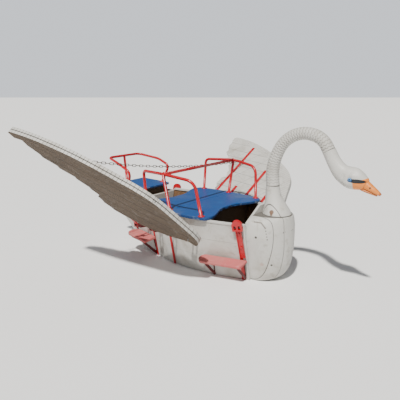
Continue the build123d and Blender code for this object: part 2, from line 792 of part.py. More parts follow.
flat = wing_pieces()
for side, lift in (("left", LEFT_RAISE), ("right", RIGHT_RAISE)):
    for name, pieces in flat.items():
        placed = [set_wing(piece, lift) for piece in pieces]
        if side == "right":
            placed = [mirrored(piece) for piece in placed]
        save(placed[0] if len(placed) == 1 else Compound(children=placed), f"wing_{side}_{name}")
    irons = [strap(x, reach) for x, reach in STRAPS] + [chain_eye(*CHAIN_EYES[side])]
    irons = [set_wing(p, lift) for p in irons]
    if side == "right":
        irons = [mirrored(p) for p in irons]
    save(Compound(children=irons), f"wing_{side}_straps")
    supports = []
    pins = []
    for x, _ in STRAPS:
        body = wing_bracket(x)
        y, z = wing_stop(x, lift)
        ear_out = STRAP_W / 2 + 8
        for x0 in (x - ear_out, x + ear_out - 7):
            arm = [(HINGE_Y - 9, HINGE_Z - 9), (HINGE_Y + 11, HINGE_Z - 9), (y + 8, z - 4),
                   (y + 5, z + 5), (y - 5, z + 4), (HINGE_Y - 9, HINGE_Z + 5)]
            cheek_plate = plate_yz(x0, x0 + 7, arm)
            body += cheek_plate
        body += disc((x - ear_out, y, z), 6, 2 * ear_out, (1, 0, 0))
        body -= disc((x - 60, HINGE_Y, HINGE_Z), PIN_D + 2 * PIN_FIT, 120, (1, 0, 0))
        pin = disc((x - ear_out - 5, HINGE_Y, HINGE_Z), PIN_D, 2 * ear_out + 10, (1, 0, 0))
        pin += disc((x - ear_out - 8, HINGE_Y, HINGE_Z), PIN_D + 6, 5, (1, 0, 0))
        supports.append(body)
        pins.append(pin)
    if side == "right":
        supports = [mirrored(p) for p in supports]
        pins = [mirrored(p) for p in pins]
    save(Compound(children=supports), f"wing_{side}_brackets")
    save(Compound(children=pins), f"wing_{side}_hinge_pins")


# ---- chain -----------------------------------------------------------------------------
def link(centre, along, roll, pitch):
    """One oval chain link centred at a point, lengthwise along a direction."""
    straight = pitch + 2 * LINK_WIRE + LINK_PLAY - LINK_W
    r = (LINK_W - LINK_WIRE) / 2
    h = straight / 2
    plane = Plane(origin=centre, x_dir=along, z_dir=roll)
    with BuildPart() as ring:
        with BuildLine(plane):
            Line((-h, r), (h, r))
            ThreePointArc((h, r), (h + r, 0), (h, -r))
            Line((h, -r), (-h, -r))
            ThreePointArc((-h, -r), (-h - r, 0), (-h, r))
        with BuildSketch(Plane(origin=plane.from_local_coords((0, r, 0)), z_dir=along)):
            Circle(LINK_WIRE / 2)
        sweep()
    return ring.part


def wing_point(x, out, above, raise_deg, sign):
    """A point above a wing's top face, in the assembly."""
    lift = radians(raise_deg)
    up = above - STRAP_MID
    y = HINGE_Y + out * cos(lift) - up * sin(lift)
    z = HINGE_Z + out * sin(lift) + up * cos(lift)
    return Vector(x, sign * y, z)


def chain_end(side, raise_deg, sign):
    """Where the chain starts, just above the ring of a wing's eye."""
    x, out = CHAIN_EYES[side]
    return wing_point(x, out - 4, CHAIN_UP + CHAIN_HOOK[side], raise_deg, sign)


chain_a = chain_end("right", RIGHT_RAISE, -1)
chain_b = chain_end("left", LEFT_RAISE, 1)


def chain_at(t):
    """A point on the hanging chain, t from 0 (right wing) to 1 (left wing)."""
    p = chain_a + (chain_b - chain_a) * t
    return Vector(p.X, p.Y, p.Z - CHAIN_SAG * 4 * t * (1 - t))


def chain_links():
    """Links spaced one pitch apart along the sagging line."""
    fine = [chain_at(i / 4000) for i in range(4001)]
    total = 0.0
    marks = [0.0]
    for p, q in zip(fine[:-1], fine[1:]):
        total += (q - p).length
        marks.append(total)
    count = int(total / LINK_PITCH)
    step = total / count
    links = []
    k = 0
    for i in range(count):
        want = (i + 0.5) * step
        while marks[k] < want:
            k += 1
        along = (fine[min(k + 5, 4000)] - fine[max(k - 5, 0)]).normalized()
        level = Vector(0, 0, 1).cross(along).normalized()
        if i % 2:
            roll = along.cross(level).normalized()
        else:
            roll = level
        links.append(link(fine[k], along, roll, step))
    return links


links = chain_links()
half_way = len(links) // 2
save(Compound(children=links[:half_way]), "chain_right_half")
save(Compound(children=links[half_way:]), "chain_left_half")
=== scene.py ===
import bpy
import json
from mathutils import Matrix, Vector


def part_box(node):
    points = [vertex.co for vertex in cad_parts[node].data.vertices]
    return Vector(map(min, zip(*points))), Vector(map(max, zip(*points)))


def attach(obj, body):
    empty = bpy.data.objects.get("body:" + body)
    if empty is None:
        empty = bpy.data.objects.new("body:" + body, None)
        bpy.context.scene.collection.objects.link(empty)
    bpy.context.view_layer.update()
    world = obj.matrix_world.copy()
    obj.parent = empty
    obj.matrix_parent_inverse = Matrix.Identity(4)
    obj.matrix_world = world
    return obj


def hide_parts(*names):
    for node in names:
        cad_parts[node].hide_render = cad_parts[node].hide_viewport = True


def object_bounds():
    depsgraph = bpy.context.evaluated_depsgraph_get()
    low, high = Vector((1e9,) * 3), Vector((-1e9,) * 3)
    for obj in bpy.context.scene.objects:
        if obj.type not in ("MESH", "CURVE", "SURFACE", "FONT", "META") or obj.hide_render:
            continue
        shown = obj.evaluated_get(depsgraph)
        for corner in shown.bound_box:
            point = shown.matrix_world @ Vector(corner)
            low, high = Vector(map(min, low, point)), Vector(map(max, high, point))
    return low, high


bl_info = {
    "name": "Swan Gondola",
    "version": (1, 0, 0),
    "blender": (4, 5, 0),
    "location": "View3D > Sidebar > Gondola",
    "description": "Builds the painted woodwork, ironwork and finishes of a swan-shaped ride boat",
    "category": "Object",
}

import json
import math

import bmesh
import bpy
from mathutils import Matrix, Vector

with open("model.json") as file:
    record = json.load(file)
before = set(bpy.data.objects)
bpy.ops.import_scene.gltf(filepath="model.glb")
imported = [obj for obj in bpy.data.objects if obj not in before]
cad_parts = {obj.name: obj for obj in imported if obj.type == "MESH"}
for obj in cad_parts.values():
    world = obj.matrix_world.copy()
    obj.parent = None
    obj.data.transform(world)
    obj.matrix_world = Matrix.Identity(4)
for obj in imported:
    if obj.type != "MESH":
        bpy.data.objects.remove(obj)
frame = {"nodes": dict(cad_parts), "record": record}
CAD_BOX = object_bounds()
HINGE = Vector((0.0, 0.44, 0.31))
RAISE = {"left": math.radians(28.4), "right": math.radians(46.4)}
SIGN = {"left": 1, "right": -1}
BODIES = frame["record"]["behaviour"]["bodies"]
BODY_OF = {node: body for body, nodes in BODIES.items() for node in nodes}
STRAP_MIDDLE = 0.0033                                       # strap's mid height above the wing's top face
STRAPS = ((-0.350, 1.05), (-0.165, 0.37), (0.020, 0.68), (0.232, 0.31))     # X and reach of each strap
RAIL_FEET = ((-0.292, 0.388), (0.318, 0.384), (0.0, 0.405))
STERN_FEET = ((-0.722, 0.228), (-0.722, -0.228), (-1.008, 0.0))
FLANGE_RISE = 0.0043                                        # flange's top above the board it stands on
CAMERA_PLACE = Vector((2.32, -2.771, 1.449))
CAMERA_AIM = Vector((-0.0194, 0, 0.510))
LENS_MM = 37.8
SUN_FROM = Vector((0.20, -0.62, 1.0))


# ---- what a user would change ---------------------------------------------------------
def colour(name, words, value):
    return bpy.props.FloatVectorProperty(name=name, description=words, subtype="COLOR", size=3,
                                         min=0.0, max=1.0, default=value)


def length(name, words, value):
    return bpy.props.FloatProperty(name=name, description=words, default=value, min=0.0, unit="LENGTH")


class GondolaSizes(bpy.types.PropertyGroup):
    board_edge: length("Board edge", "Rounding of the sawn boards' edges", 0.003)
    block_edge: length("Block edge", "Rounding of the carved blocks' edges", 0.004)
    iron_edge: length("Iron edge", "Rounding of the forged irons' edges", 0.0012)
    neck_ring: length("Neck ring", "Spacing of the carved rings along the neck", 0.021)
    ring_depth: length("Ring depth", "How deep the neck's rings are cut", 0.0036)
    bolt_head: length("Bolt head", "Width of the bolt heads on the straps", 0.015)


class GondolaColours(bpy.types.PropertyGroup):
    white: colour("White paint", "Weathered white paint of the body", (0.56, 0.55, 0.515))
    grime: colour("Grime", "Dirt and water stain on the white paint", (0.27, 0.235, 0.18))
    bare: colour("Bare board", "Unpainted, weathered timber", (0.085, 0.060, 0.038))
    blue: colour("Blue paint", "Paint of the seat boards", (0.005, 0.062, 0.235))
    red: colour("Red paint", "Gloss paint of the rails and hangers", (0.44, 0.004, 0.010))
    dark_red: colour("Dark red paint", "Dull paint of bands and brackets", (0.10, 0.004, 0.006))
    pink: colour("Faded red", "Sun-bleached paint of the footsteps", (0.50, 0.105, 0.105))
    orange: colour("Beak", "Paint of the beak", (0.78, 0.235, 0.025))
    steel: colour("Chain", "Tarnished chain", (0.10, 0.078, 0.052))


# ---- shared finishes ------------------------------------------------------------------
def new_group(name, takes, gives):
    group = bpy.data.node_groups.new(name, "ShaderNodeTree")
    for label, kind, value in takes:
        socket = group.interface.new_socket(label, in_out="INPUT", socket_type=kind)
        if value is not None:
            socket.default_value = value
    for label, kind in gives:
        group.interface.new_socket(label, in_out="OUTPUT", socket_type=kind)
    return group, group.nodes.new("NodeGroupInput"), group.nodes.new("NodeGroupOutput")


def math_node(tree, kind, a, b=None, c=None, clamp=False):
    node = tree.nodes.new("ShaderNodeMath")
    node.operation = kind
    node.use_clamp = clamp
    for i, value in enumerate((a, b, c)):
        if value is None:
            continue
        if isinstance(value, (int, float)):
            node.inputs[i].default_value = value
        else:
            tree.links.new(value, node.inputs[i])
    return node.outputs[0]


def remap(tree, value, low, high, to_low=0.0, to_high=1.0):
    node = tree.nodes.new("ShaderNodeMapRange")
    node.interpolation_type = "SMOOTHSTEP"
    tree.links.new(value, node.inputs["Value"])
    for label, number in (("From Min", low), ("From Max", high), ("To Min", to_low), ("To Max", to_high)):
        if isinstance(number, (int, float)):
            node.inputs[label].default_value = number
        else:
            tree.links.new(number, node.inputs[label])
    return node.outputs["Result"]


def noise(tree, vector, scale, detail=5.0, rough=0.55, warp=0.0):
    node = tree.nodes.new("ShaderNodeTexNoise")
    node.inputs["Scale"].default_value = scale
    node.inputs["Detail"].default_value = detail
    node.inputs["Roughness"].default_value = rough
    node.inputs["Distortion"].default_value = warp
    tree.links.new(vector, node.inputs["Vector"])
    return node.outputs["Fac"]


def stretched(tree, vector, factors, turn=(0, 0, 0), shift=(0, 0, 0)):
    node = tree.nodes.new("ShaderNodeMapping")
    node.inputs["Location"].default_value = shift
    node.inputs["Rotation"].default_value = turn
    node.inputs["Scale"].default_value = factors
    tree.links.new(vector, node.inputs["Vector"])
    return node.outputs["Vector"]


def mix(tree, amount, a, b, blend="MIX"):
    node = tree.nodes.new("ShaderNodeMix")
    node.data_type = "RGBA"
    node.blend_type = blend
    for socket, value in ((node.inputs["Factor"], amount), (node.inputs["A"], a), (node.inputs["B"], b)):
        if isinstance(value, (int, float)):
            socket.default_value = value
        elif isinstance(value, (tuple, list)):
            socket.default_value = (*value[:3], 1.0)
        else:
            tree.links.new(value, socket)
    return node.outputs["Result"]


def grain_group():
    """Long timber grain: stretch the vector first so that grain runs along its small axis."""
    group = bpy.data.node_groups.get("Timber grain")
    if group:
        return group
    group, start, end = new_group("Timber grain", (("Vector", "NodeSocketVector", None),),
                                  (("Grain", "NodeSocketFloat"), ("Height", "NodeSocketFloat")))
    coarse = noise(group, start.outputs["Vector"], 26.0, 6.0, 0.62, 0.35)
    fine = noise(group, start.outputs["Vector"], 95.0, 3.0, 0.6)
    grain = math_node(group, "ADD", math_node(group, "MULTIPLY", coarse, 0.65),
                      math_node(group, "MULTIPLY", fine, 0.35))
    group.links.new(remap(group, grain, 0.34, 0.66), end.inputs["Grain"])
    group.links.new(grain, end.inputs["Height"])
    return group


def wear_group():
    """Paint wear: chips down to the wood, thin rubbed patches and soft dirt."""
    group = bpy.data.node_groups.get("Paint wear")
    if group:
        return group
    takes = (("Vector", "NodeSocketVector", None), ("Chips", "NodeSocketFloat", 0.66))
    gives = (("Chip", "NodeSocketFloat"), ("Rub", "NodeSocketFloat"), ("Dirt", "NodeSocketFloat"))
    group, start, end = new_group("Paint wear", takes, gives)
    vector = start.outputs["Vector"]
    patches = noise(group, vector, 7.0, 4.0, 0.6, 0.4)
    flakes = noise(group, vector, 60.0, 5.0, 0.7, 0.8)
    both = math_node(group, "ADD", math_node(group, "MULTIPLY", patches, 0.5),
                     math_node(group, "MULTIPLY", flakes, 0.5))
    upper = math_node(group, "ADD", start.outputs["Chips"], 0.02)
    group.links.new(remap(group, both, start.outputs["Chips"], upper), end.inputs["Chip"])
    group.links.new(remap(group, noise(group, vector, 16.0, 6.0, 0.65, 0.6), 0.52, 0.74), end.inputs["Rub"])
    group.links.new(remap(group, noise(group, vector, 3.2, 5.0, 0.6, 0.5), 0.45, 0.78), end.inputs["Dirt"])
    return group


def line_group():
    """Thin lines at even spacing along the vector's X, as carved grooves or plank joints."""
    group = bpy.data.node_groups.get("Even lines")
    if group:
        return group
    takes = (("Vector", "NodeSocketVector", None), ("Spacing", "NodeSocketFloat", 0.1),
             ("Width", "NodeSocketFloat", 0.004))
    group, start, end = new_group("Even lines", takes, (("Line", "NodeSocketFloat"),))
    split = group.nodes.new("ShaderNodeSeparateXYZ")
    group.links.new(start.outputs["Vector"], split.inputs[0])
    near = math_node(group, "PINGPONG", split.outputs["X"],
                     math_node(group, "MULTIPLY", start.outputs["Spacing"], 0.5))
    line = math_node(group, "SUBTRACT", 1.0, math_node(group, "DIVIDE", near, start.outputs["Width"]),
                     clamp=True)
    group.links.new(line, end.inputs["Line"])
    return group


class Finish:
    """One material under way: its tree, shader and object coordinates."""

    def __init__(self, name, roughness=0.6):
        self.material = bpy.data.materials.new(name)
        self.material.use_nodes = True
        self.tree = self.material.node_tree
        self.shader = self.tree.nodes["Principled BSDF"]
        self.shader.inputs["Roughness"].default_value = roughness
        self.place = self.tree.nodes.new("ShaderNodeTexCoord").outputs["Object"]

    def use(self, group, vector, **values):
        node = self.tree.nodes.new("ShaderNodeGroup")
        node.node_tree = group
        self.tree.links.new(vector, node.inputs["Vector"])
        for label, value in values.items():
            node.inputs[label].default_value = value
        return node

    def axes(self, vector=None):
        node = self.tree.nodes.new("ShaderNodeSeparateXYZ")
        self.tree.links.new(vector or self.place, node.inputs[0])
        return node.outputs

    def spot(self, centre, radius, soft=0.3):
        """Mask of a ball-shaped spot on the surface."""
        node = self.tree.nodes.new("ShaderNodeVectorMath")
        node.operation = "DISTANCE"
        self.tree.links.new(self.place, node.inputs[0])
        node.inputs[1].default_value = centre
        return remap(self.tree, node.outputs["Value"], radius, radius * (1 - soft))

    def done(self, base, rough=None, heights=(), metallic=None):
        self.tree.links.new(base, self.shader.inputs["Base Color"])
        if rough is not None:
            self.tree.links.new(rough, self.shader.inputs["Roughness"])
        if metallic is not None:
            self.shader.inputs["Metallic"].default_value = metallic
        last = None
        for height, distance in heights:
            bump = self.tree.nodes.new("ShaderNodeBump")
            bump.inputs["Distance"].default_value = distance
            bump.inputs["Strength"].default_value = 1.0
            self.tree.links.new(height, bump.inputs["Height"])
            if last is not None:
                self.tree.links.new(last, bump.inputs["Normal"])
            last = bump.outputs["Normal"]
        if last is not None:
            self.tree.links.new(last, self.shader.inputs["Normal"])
        return self.material


def painted_wood(name, paint, under, stretch=(1.2, 9, 9), turn=(0, 0, 0), chips=0.66, dirt=0.30, rub=0.25,
                 roughness=0.55, cuts=(), tint=None, extras=(), groove=0.0, seams=()):
    """Old gloss paint on timber: grain telegraphs through, chips show the wood, dirt lies in patches.
    cuts lists (vector, spacing, width, strength) of carved lines, darkened as painted shade in carved grooves
    and as dark joints between planks, seams lists (vector, axis, place, half width) of single joints, and
    groove darkens what a piece's own groove attribute marks, as painted shade that deepens with the cut."""
    shades = bpy.context.scene.gondola_colours
    f = Finish(name, roughness)
    tree = f.tree
    grain = f.use(grain_group(), stretched(tree, f.place, stretch, turn))
    wear = f.use(wear_group(), f.place, Chips=chips)
    shade = mix(tree, math_node(tree, "MULTIPLY", grain.outputs["Grain"], 0.28), paint,
                tuple(c * 0.80 for c in paint))
    shade = mix(tree, math_node(tree, "MULTIPLY", wear.outputs["Rub"], rub), shade, tint or shades.grime[:])
    shade = mix(tree, math_node(tree, "MULTIPLY", wear.outputs["Dirt"], dirt), shade, shades.grime[:])
    wood = mix(tree, grain.outputs["Grain"], tuple(c * 0.62 for c in under),
               tuple(min(1, c * 1.35) for c in under))
    shade = mix(tree, wear.outputs["Chip"], shade, wood)
    heights = [(grain.outputs["Height"], 0.0012),
               (math_node(tree, "SUBTRACT", 1.0, wear.outputs["Chip"]), 0.0006)]
    # Each carved line is darkened: painted shade in a carved groove, and the dark line of a joint between
    # planks.
    for vector, spacing, width, strength in cuts:
        line = f.use(line_group(), vector(f), Spacing=spacing, Width=width).outputs["Line"]
        shade = mix(tree, math_node(tree, "MULTIPLY", line, strength), shade,
                    tuple(c * 0.30 for c in shades.grime))
        heights.append((math_node(tree, "SUBTRACT", 1.0, line), 0.0022))
    for vector, axis, where, half in seams:
        apart = math_node(tree, "ABSOLUTE", math_node(tree, "SUBTRACT", f.axes(vector(f))[axis], where))
        joint = remap(tree, apart, half, half * 0.4)
        shade = mix(tree, math_node(tree, "MULTIPLY", joint, 0.85), shade, (0.06, 0.05, 0.04))
        heights.append((math_node(tree, "SUBTRACT", 1.0, joint), 0.003))
    # groove: painted shade, darker the deeper a carved cut goes, standing in for shade in its hollow
    if groove:
        cut = tree.nodes.new("ShaderNodeAttribute")
        cut.attribute_name = "groove"
        dark = math_node(tree, "MULTIPLY", math_node(tree, "POWER", cut.outputs["Fac"], 1.6), groove)
        shade = mix(tree, dark, shade, (0.16, 0.14, 0.11))
    for centre, radius, tone, amount in extras:
        shade = mix(tree, math_node(tree, "MULTIPLY", f.spot(centre, radius), amount), shade, tone)
    rough = math_node(tree, "ADD", roughness, math_node(tree, "MULTIPLY", wear.outputs["Rub"], 0.2))
    rough = math_node(tree, "ADD", rough, math_node(tree, "MULTIPLY", wear.outputs["Chip"], 0.25), clamp=True)
    return f.done(shade, rough, heights)


def painted_iron(name, paint, gloss=0.28, rust=0.62):
    """Brush-painted iron with a soft orange peel, rust-brown chips and dust."""
    f = Finish(name, gloss)
    tree = f.tree
    wear = f.use(wear_group(), stretched(tree, f.place, (2.2, 2.2, 2.2)), Chips=rust)
    shade = mix(tree, math_node(tree, "MULTIPLY", wear.outputs["Rub"], 0.35), paint,
                tuple(c * 0.45 for c in paint))
    shade = mix(tree, math_node(tree, "MULTIPLY", wear.outputs["Dirt"], 0.25), shade,
                tuple(min(1, c * 0.8 + 0.09) for c in paint))
    shade = mix(tree, wear.outputs["Chip"], shade, (0.10, 0.045, 0.028))
    rough = math_node(tree, "ADD", gloss, math_node(tree, "MULTIPLY", wear.outputs["Rub"], 0.25))
    rough = math_node(tree, "ADD", rough, math_node(tree, "MULTIPLY", wear.outputs["Chip"], 0.4), clamp=True)
    peel = noise(tree, f.place, 140.0, 2.0)
    chipped = math_node(tree, "SUBTRACT", 1.0, wear.outputs["Chip"])
    return f.done(shade, rough, ((peel, 0.0005), (chipped, 0.0005)))


def bare_timber(name, tone, stretch=(1.0, 10, 10), turn=(0, 0, 0), white=0.0, joints=None):
    """Unpainted weathered boards with dark grain, and remains of white paint where asked."""
    shades = bpy.context.scene.gondola_colours
    f = Finish(name, 0.85)
    tree = f.tree
    vector = stretched(tree, f.place, stretch, turn)
    grain = f.use(grain_group(), vector)
    wear = f.use(wear_group(), f.place, Chips=0.55)
    shade = mix(tree, grain.outputs["Grain"], tuple(c * 0.50 for c in tone),
                tuple(min(1, c * 1.55) for c in tone))
    shade = mix(tree, math_node(tree, "MULTIPLY", wear.outputs["Dirt"], 0.5), shade,
                tuple(c * 0.40 for c in tone))
    shade = mix(tree, math_node(tree, "MULTIPLY", wear.outputs["Rub"], white), shade, shades.white[:])
    heights = [(grain.outputs["Height"], 0.0022)]
    if joints:
        line = f.use(line_group(), joints[0](f), Spacing=joints[1], Width=joints[2]).outputs["Line"]
        shade = mix(tree, line, shade, (0.02, 0.017, 0.013))
        heights.append((math_node(tree, "SUBTRACT", 1.0, line), 0.003))
    return f.done(shade, None, heights)


def chain_steel(name, tone):
    f = Finish(name, 0.42)
    wear = f.use(wear_group(), stretched(f.tree, f.place, (6, 6, 6)), Chips=0.6)
    shade = mix(f.tree, wear.outputs["Rub"], tone, (0.16, 0.10, 0.06))
    rough = remap(f.tree, wear.outputs["Rub"], 0, 1, 0.34, 0.7)
    return f.done(shade, rough, ((wear.outputs["Rub"], 0.0004),), 0.75)


def finish_named(name, maker):
    """A finish by name, made once."""
    return bpy.data.materials.get(name) or maker(name)


def white(name="White paint", **more):
    shades = bpy.context.scene.gondola_colours
    return finish_named(name, lambda n: painted_wood(n, shades.white[:], shades.bare[:], **more))


def red():
    return finish_named("Red gloss", lambda n: painted_iron(n, bpy.context.scene.gondola_colours.red[:]))


def dark_red():
    return finish_named("Dark red", lambda n: painted_iron(
        n, bpy.context.scene.gondola_colours.dark_red[:], 0.5, 0.58))


# ---- shared shaping ------------------------------------------------------------------
def place_mesh(name, bm, materials, body="hull", smooth=40.0, outward=True):
    """Turns a bmesh into a piece that rides on a body."""
    if outward:
        bmesh.ops.recalc_face_normals(bm, faces=bm.faces)
    mesh = bpy.data.meshes.new(name)
    bm.to_mesh(mesh)
    bm.free()
    for material in materials:
        mesh.materials.append(material)
    piece = bpy.data.objects.new(name, mesh)
    bpy.context.scene.collection.objects.link(piece)
    for face in mesh.polygons:
        face.use_smooth = True
    mesh.set_sharp_from_angle(angle=math.radians(smooth))
    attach(piece, body)
    return piece


def worked(node, materials, edge=0.0, choose=None, segments=2, smooth=38.0, flat=1.2):
    """A CAD node finished by hand: joined faces, eased edges and its own paint."""
    source = frame["nodes"][node]
    bm = bmesh.new()
    bm.from_mesh(source.data)
    bmesh.ops.remove_doubles(bm, verts=bm.verts, dist=2e-5)
    if flat:
        bmesh.ops.dissolve_limit(bm, angle_limit=math.radians(flat), verts=bm.verts, edges=bm.edges)
    if choose:
        bm.normal_update()
        for face in bm.faces:
            face.material_index = choose(face)
    else:
        for face in bm.faces:
            face.material_index = 0
    piece = place_mesh(node + "_work", bm, materials, BODY_OF[node], smooth, outward=False)
    if edge:
        ease = piece.modifiers.new("Eased edges", "BEVEL")
        ease.width = edge
        ease.segments = segments
        ease.limit_method = "ANGLE"
        ease.angle_limit = math.radians(35)
        ease.harden_normals = False
    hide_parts(node)
    return piece


def add_knob(bm, centre, normal, width, height, sides=6, dome=False):
    """A bolt head or dome-headed nail standing on a surface."""
    turn = Vector(normal).to_track_quat("Z", "Y").to_matrix().to_4x4()
    spot = Matrix.Translation(centre) @ turn
    if dome:
        made = bmesh.ops.create_uvsphere(bm, u_segments=10, v_segments=6, radius=width / 2,
                                         matrix=spot @ Matrix.Diagonal((1, 1, height * 2 / width, 1)))
    else:
        made = bmesh.ops.create_cone(bm, cap_ends=True, segments=sides, radius1=width / 2,
                                     radius2=width / 2 * 0.92, depth=height,
                                     matrix=spot @ Matrix.Translation((0, 0, height / 2)))
    return made["verts"]


def wing_spot(side, x, out, above):
    """A point given in a wing's own plan, in the assembly."""
    a = RAISE[side]
    up = above - STRAP_MIDDLE
    return Vector((x, SIGN[side] * (HINGE.y + out * math.cos(a) - up * math.sin(a)),
                   HINGE.z + out * math.sin(a) + up * math.cos(a)))


def wing_up(side):
    return Vector((0, -SIGN[side] * math.sin(RAISE[side]), math.cos(RAISE[side])))


def sleeve(path, rings, sides=40, wave=0.0):
    """Closed tube skinned over rings of (distance, half width, half height, depth of cut) along a path.
    wave makes each ring a row of small scallops, and the cut is kept as the attribute "groove"."""
    bm = bmesh.new()
    groove = bm.verts.layers.float.new("groove")
    edges = last = None
    for index, (t, wide, high, cut) in enumerate(rings):
        centre, tangent = path(t)
        across = Vector((0, 1, 0))
        up = tangent.cross(across).normalized()
        frame_at = Matrix((across, up, tangent)).transposed().to_4x4()
        lift = 1.0 if 2 < index < len(rings) - 3 else 0.001
        spot = Matrix.Translation(centre) @ frame_at @ Matrix.Diagonal((wide, high, lift, 1))
        if edges is None:
            loop = bmesh.ops.create_circle(bm, segments=sides, radius=1.0, cap_ends=False)["verts"]
            for vert in loop:
                vert.co.z = wave * (abs(math.sin(5 * math.atan2(vert.co.y, vert.co.x))) - 0.5)
            edges = list({e for v in loop for e in v.link_edges})
            bmesh.ops.transform(bm, verts=loop, matrix=spot)
            bmesh.ops.contextual_create(bm, geom=loop)
        else:
            made = bmesh.ops.extrude_edge_only(bm, edges=edges)["geom"]
            loop = [g for g in made if isinstance(g, bmesh.types.BMVert)]
            edges = [g for g in made if isinstance(g, bmesh.types.BMEdge)]
            bmesh.ops.transform(bm, verts=loop, matrix=spot @ last.inverted())
        for vert in loop:
            vert[groove] = cut
        last = spot
    bmesh.ops.contextual_create(bm, geom=loop)
    return bm


class Spine:
    """A smooth centre line through knots of (x, z, half width, half height), read by share of its length."""

    def __init__(self, knots):
        self.knots = [Vector(k) / 1000 for k in knots]
        steps = [self.at(i / 40) for i in range(40 * (len(knots) - 1) + 1)]
        self.marks = [0.0]
        for a, b in zip(steps[:-1], steps[1:]):
            self.marks.append(self.marks[-1] + (b.xy - a.xy).length)
        self.length = self.marks[-1]

    def at(self, u):
        i = min(int(u), len(self.knots) - 2)
        t = u - i
        k = self.knots
        b, c = k[i], k[i + 1]
        a = k[i - 1] if i else b * 2 - c
        d = k[i + 2] if i + 2 < len(k) else c * 2 - b
        return 0.5 * ((2 * b) + (c - a) * t + (2 * a - 5 * b + 4 * c - d) * t * t
                      + (3 * b - a - 3 * c + d) * t ** 3)

    def share(self, s):
        want = s * self.length
        n = next((i for i, m in enumerate(self.marks) if m >= want), len(self.marks) - 1)
        n = max(n, 1)
        part = (want - self.marks[n - 1]) / max(self.marks[n] - self.marks[n - 1], 1e-9)
        return self.at((n - 1 + part) / 40)

    def __call__(self, s):
        low, high = self.share(max(s - 0.004, 0)), self.share(min(s + 0.004, 1))
        here = self.share(s)
        return Vector((here.x, 0, here.y)), Vector((high.x - low.x, 0, high.y - low.y)).normalized()

    def halves(self, s):
        here = self.share(s)
        return here.z, here.w


NECK = Spine(((714, 750.4, 51, 51), (706, 850, 50, 50), (722, 950, 48, 48), (775, 1062, 46, 46),
              (852, 1130, 46, 46), (944, 1160, 46, 46), (1036, 1150, 45, 46),
              (1100, 1112, 45, 45), (1142, 1052, 45, 46)))
HEAD = Spine(((1142.2, 1051.6, 45, 46), (1186, 978, 46, 49), (1238, 918, 50, 60), (1300, 888, 58, 73),
              (1350, 876, 57, 70), (1392, 860, 44, 52), (1412, 850, 33, 38)))


def sculpt(bm, moves):
    """Soft pushes of a surface: each is (centre, radius, push)."""
    for centre, radius, push in moves:
        for vert in bm.verts:
            reach = (vert.co - Vector(centre)).length / radius
            if reach < 1:
                vert.co += Vector(push) * (1 - reach * reach) ** 2


class Maker(bpy.types.Operator):
    """Common ground of the makers: each builds its pieces once."""
    bl_options = {"REGISTER", "UNDO"}

    def execute(self, context):
        self.make(context.scene.gondola_sizes, context.scene.gondola_colours)
        return {"FINISHED"}


# ---- woodwork ----------------------------------------------------------------------
def inside_out(face):
    """0 for faces turned outward or up, 1 for faces turned to the inside of the hull."""
    middle = face.calc_center_median()
    return 1 if face.normal.y * middle.y < -1e-4 and abs(face.normal.y) > 0.5 else 0


class GONDOLA_OT_hull(Maker):
    """Hull sides, bottom, bulkheads, deck and gunwale strips"""
    bl_idname = "gondola.hull"
    bl_label = "Hull woodwork"

    def make(self, sizes, shades):
        outside = white("White hull", stretch=(1.1, 8, 8), chips=0.655, dirt=0.75, rub=0.55,
                        cuts=((lambda f: stretched(f.tree, f.place, (1, 1, 1), (0, math.pi / 2, 0)),
                               0.158, 0.0016, 0.45),))
        lining = finish_named("Inner boards", lambda n: bare_timber(n, (0.15, 0.075, 0.032), white=0.12))
        floor = finish_named("Floor boards", lambda n: bare_timber(n, shades.bare[:]))
        for node in ("hull_side_left", "hull_side_right"):
            worked(node, [outside, lining], sizes.board_edge, inside_out, flat=0.5)
        plain = white(dirt=0.35)
        for node in ("gunwale_cap_left", "gunwale_cap_right", "front_bulkhead", "stern_bulkhead"):
            worked(node, [plain], sizes.board_edge)
        worked("bottom_board", [floor, outside], 0, lambda f: 1 if f.normal.z < -0.5 else 0)
        worked("bottom_ramp", [floor, outside], 0, lambda f: 1 if f.normal.z < -0.2 else 0)
        for node in ("stern_deck", "stern_seat_frame", "bench_riser_front", "bench_riser_rear"):
            worked(node, [floor], sizes.board_edge)
        # A thin near-black box set into the front bulkhead is painted shade standing in for the hollow of its
        # slot.
        slot = bmesh.new()
        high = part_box("front_bulkhead")[1]
        middle = Matrix.Translation((high.x - 0.0195, -0.095, high.z - 0.052))
        bmesh.ops.create_cube(slot, size=1.0, matrix=middle @ Matrix.Diagonal((0.003, 0.058, 0.016, 1)))
        bmesh.ops.bevel(slot, geom=slot.edges[:], offset=0.001, offset_type="OFFSET", segments=2,
                        affect="EDGES", profile=0.5, material=-1)
        painted_slot_shade = finish_named("Dark hollow", lambda n: bare_timber(n, (0.012, 0.010, 0.008)))
        place_mesh("bulkhead_slot_shade", slot, [painted_slot_shade])


